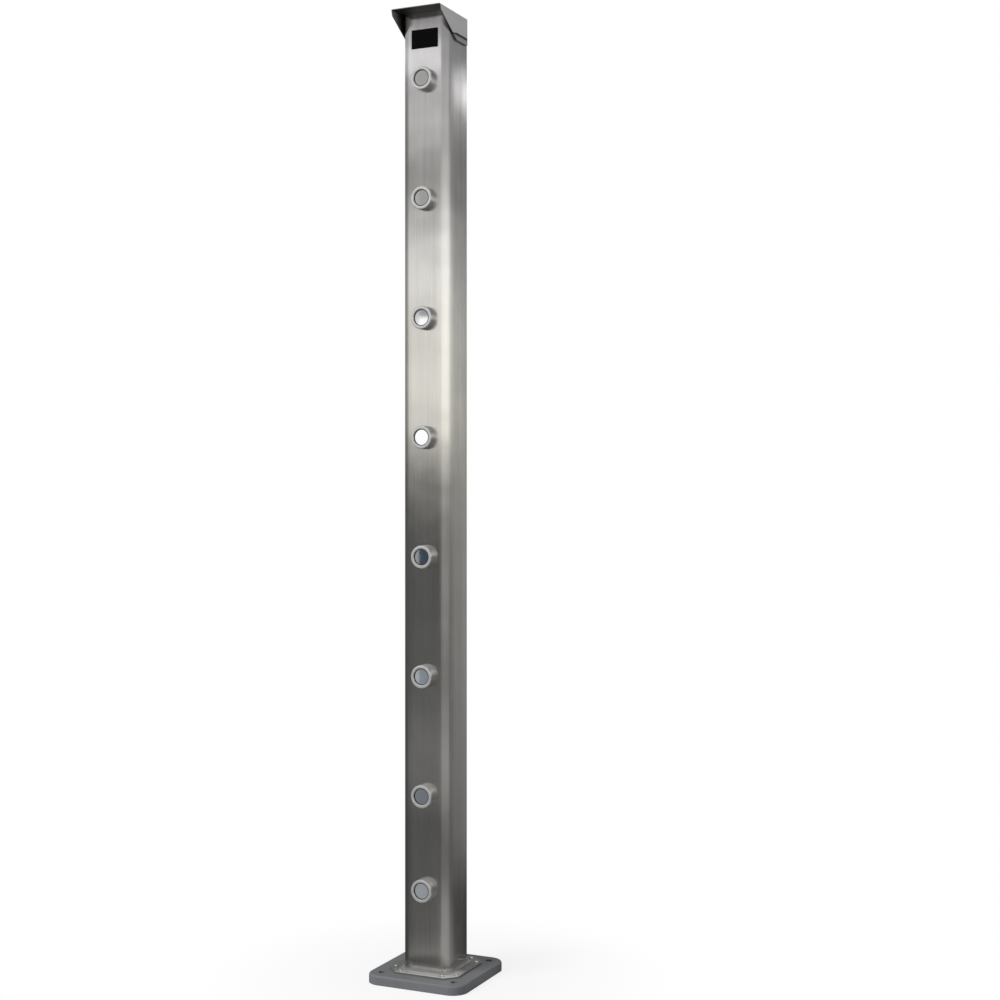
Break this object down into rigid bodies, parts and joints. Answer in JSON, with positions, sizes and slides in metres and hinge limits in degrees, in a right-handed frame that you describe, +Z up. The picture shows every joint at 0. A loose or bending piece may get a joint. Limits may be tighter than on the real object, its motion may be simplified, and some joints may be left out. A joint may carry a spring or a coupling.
{
  "type": "laser beam barrier post",
  "caption": "Transmitter post of a laser beam safety barrier: square brushed stainless tube with round beam windows, a small display under a rain hood and a bolt-down base.",
  "frame": {"origin": "centre of the underside of the base", "axes": "+Z up along the post, -Y towards the receiver, the side the beams leave, +X to the right seen from the front"},
  "size_m": [0.172, 0.172, 1.546],
  "materials": {
    "stainless": "brushed",
    "base_paint": "satin",
    "bezel_aluminium": "satin",
    "window_glass": "frosted",
    "seal_rubber": "matte",
    "screw_steel": "satin",
    "nut_aluminium": "satin",
    "display_smoke": "gloss",
    "circuit_board": "satin",
    "zinc_sheet": "galvanised",
    "bracket_plastic": "matte",
    "module_brass": "satin",
    "supply_case": "satin",
    "terminal_plastic": "satin"
  },
  "bodies": {
    "root": {"back_screws": "screw_steel", "base_plate": "base_paint", "beam_bezel_1": "bezel_aluminium", "beam_bezel_2": "bezel_aluminium", "beam_bezel_3": "bezel_aluminium", "beam_bezel_4": "bezel_aluminium", "beam_bezel_5": "bezel_aluminium", "beam_bezel_6": "bezel_aluminium", "beam_bezel_7": "bezel_aluminium", "beam_bezel_8": "bezel_aluminium", "beam_window_1": "window_glass", "beam_window_2": "window_glass", "beam_window_3": "window_glass", "beam_window_4": "window_glass", "beam_window_5": "window_glass", "beam_window_6": "window_glass", "beam_window_7": "window_glass", "beam_window_8": "window_glass", "bezel_nuts": "nut_aluminium", "board_standoffs": "module_brass", "cable_grommet": "seal_rubber", "chassis_rail": "zinc_sheet", "chassis_screws": "screw_steel", "display_board": "circuit_board", "display_window": "display_smoke", "driver_board": "circuit_board", "flange_screws": "screw_steel", "foot_flange": "stainless", "hood_ledge_left": "stainless", "hood_ledge_right": "stainless", "hood_seal_left": "seal_rubber", "hood_seal_right": "seal_rubber", "laser_module_1": "module_brass", "laser_module_2": "module_brass", "laser_module_3": "module_brass", "laser_module_4": "module_brass", "laser_module_5": "module_brass", "laser_module_6": "module_brass", "laser_module_7": "module_brass", "laser_module_8": "module_brass", "module_bracket_1": "bracket_plastic", "module_bracket_2": "bracket_plastic", "module_bracket_3": "bracket_plastic", "module_bracket_4": "bracket_plastic", "module_bracket_5": "bracket_plastic", "module_bracket_6": "bracket_plastic", "module_bracket_7": "bracket_plastic", "module_bracket_8": "bracket_plastic", "post_tube": "stainless", "power_supply": "supply_case", "rain_hood": "stainless", "terminal_block": "terminal_plastic", "window_seal_1": "seal_rubber", "window_seal_2": "seal_rubber", "window_seal_3": "seal_rubber", "window_seal_4": "seal_rubber", "window_seal_5": "seal_rubber", "window_seal_6": "seal_rubber", "window_seal_7": "seal_rubber", "window_seal_8": "seal_rubber"}
  },
  "joints": []
}
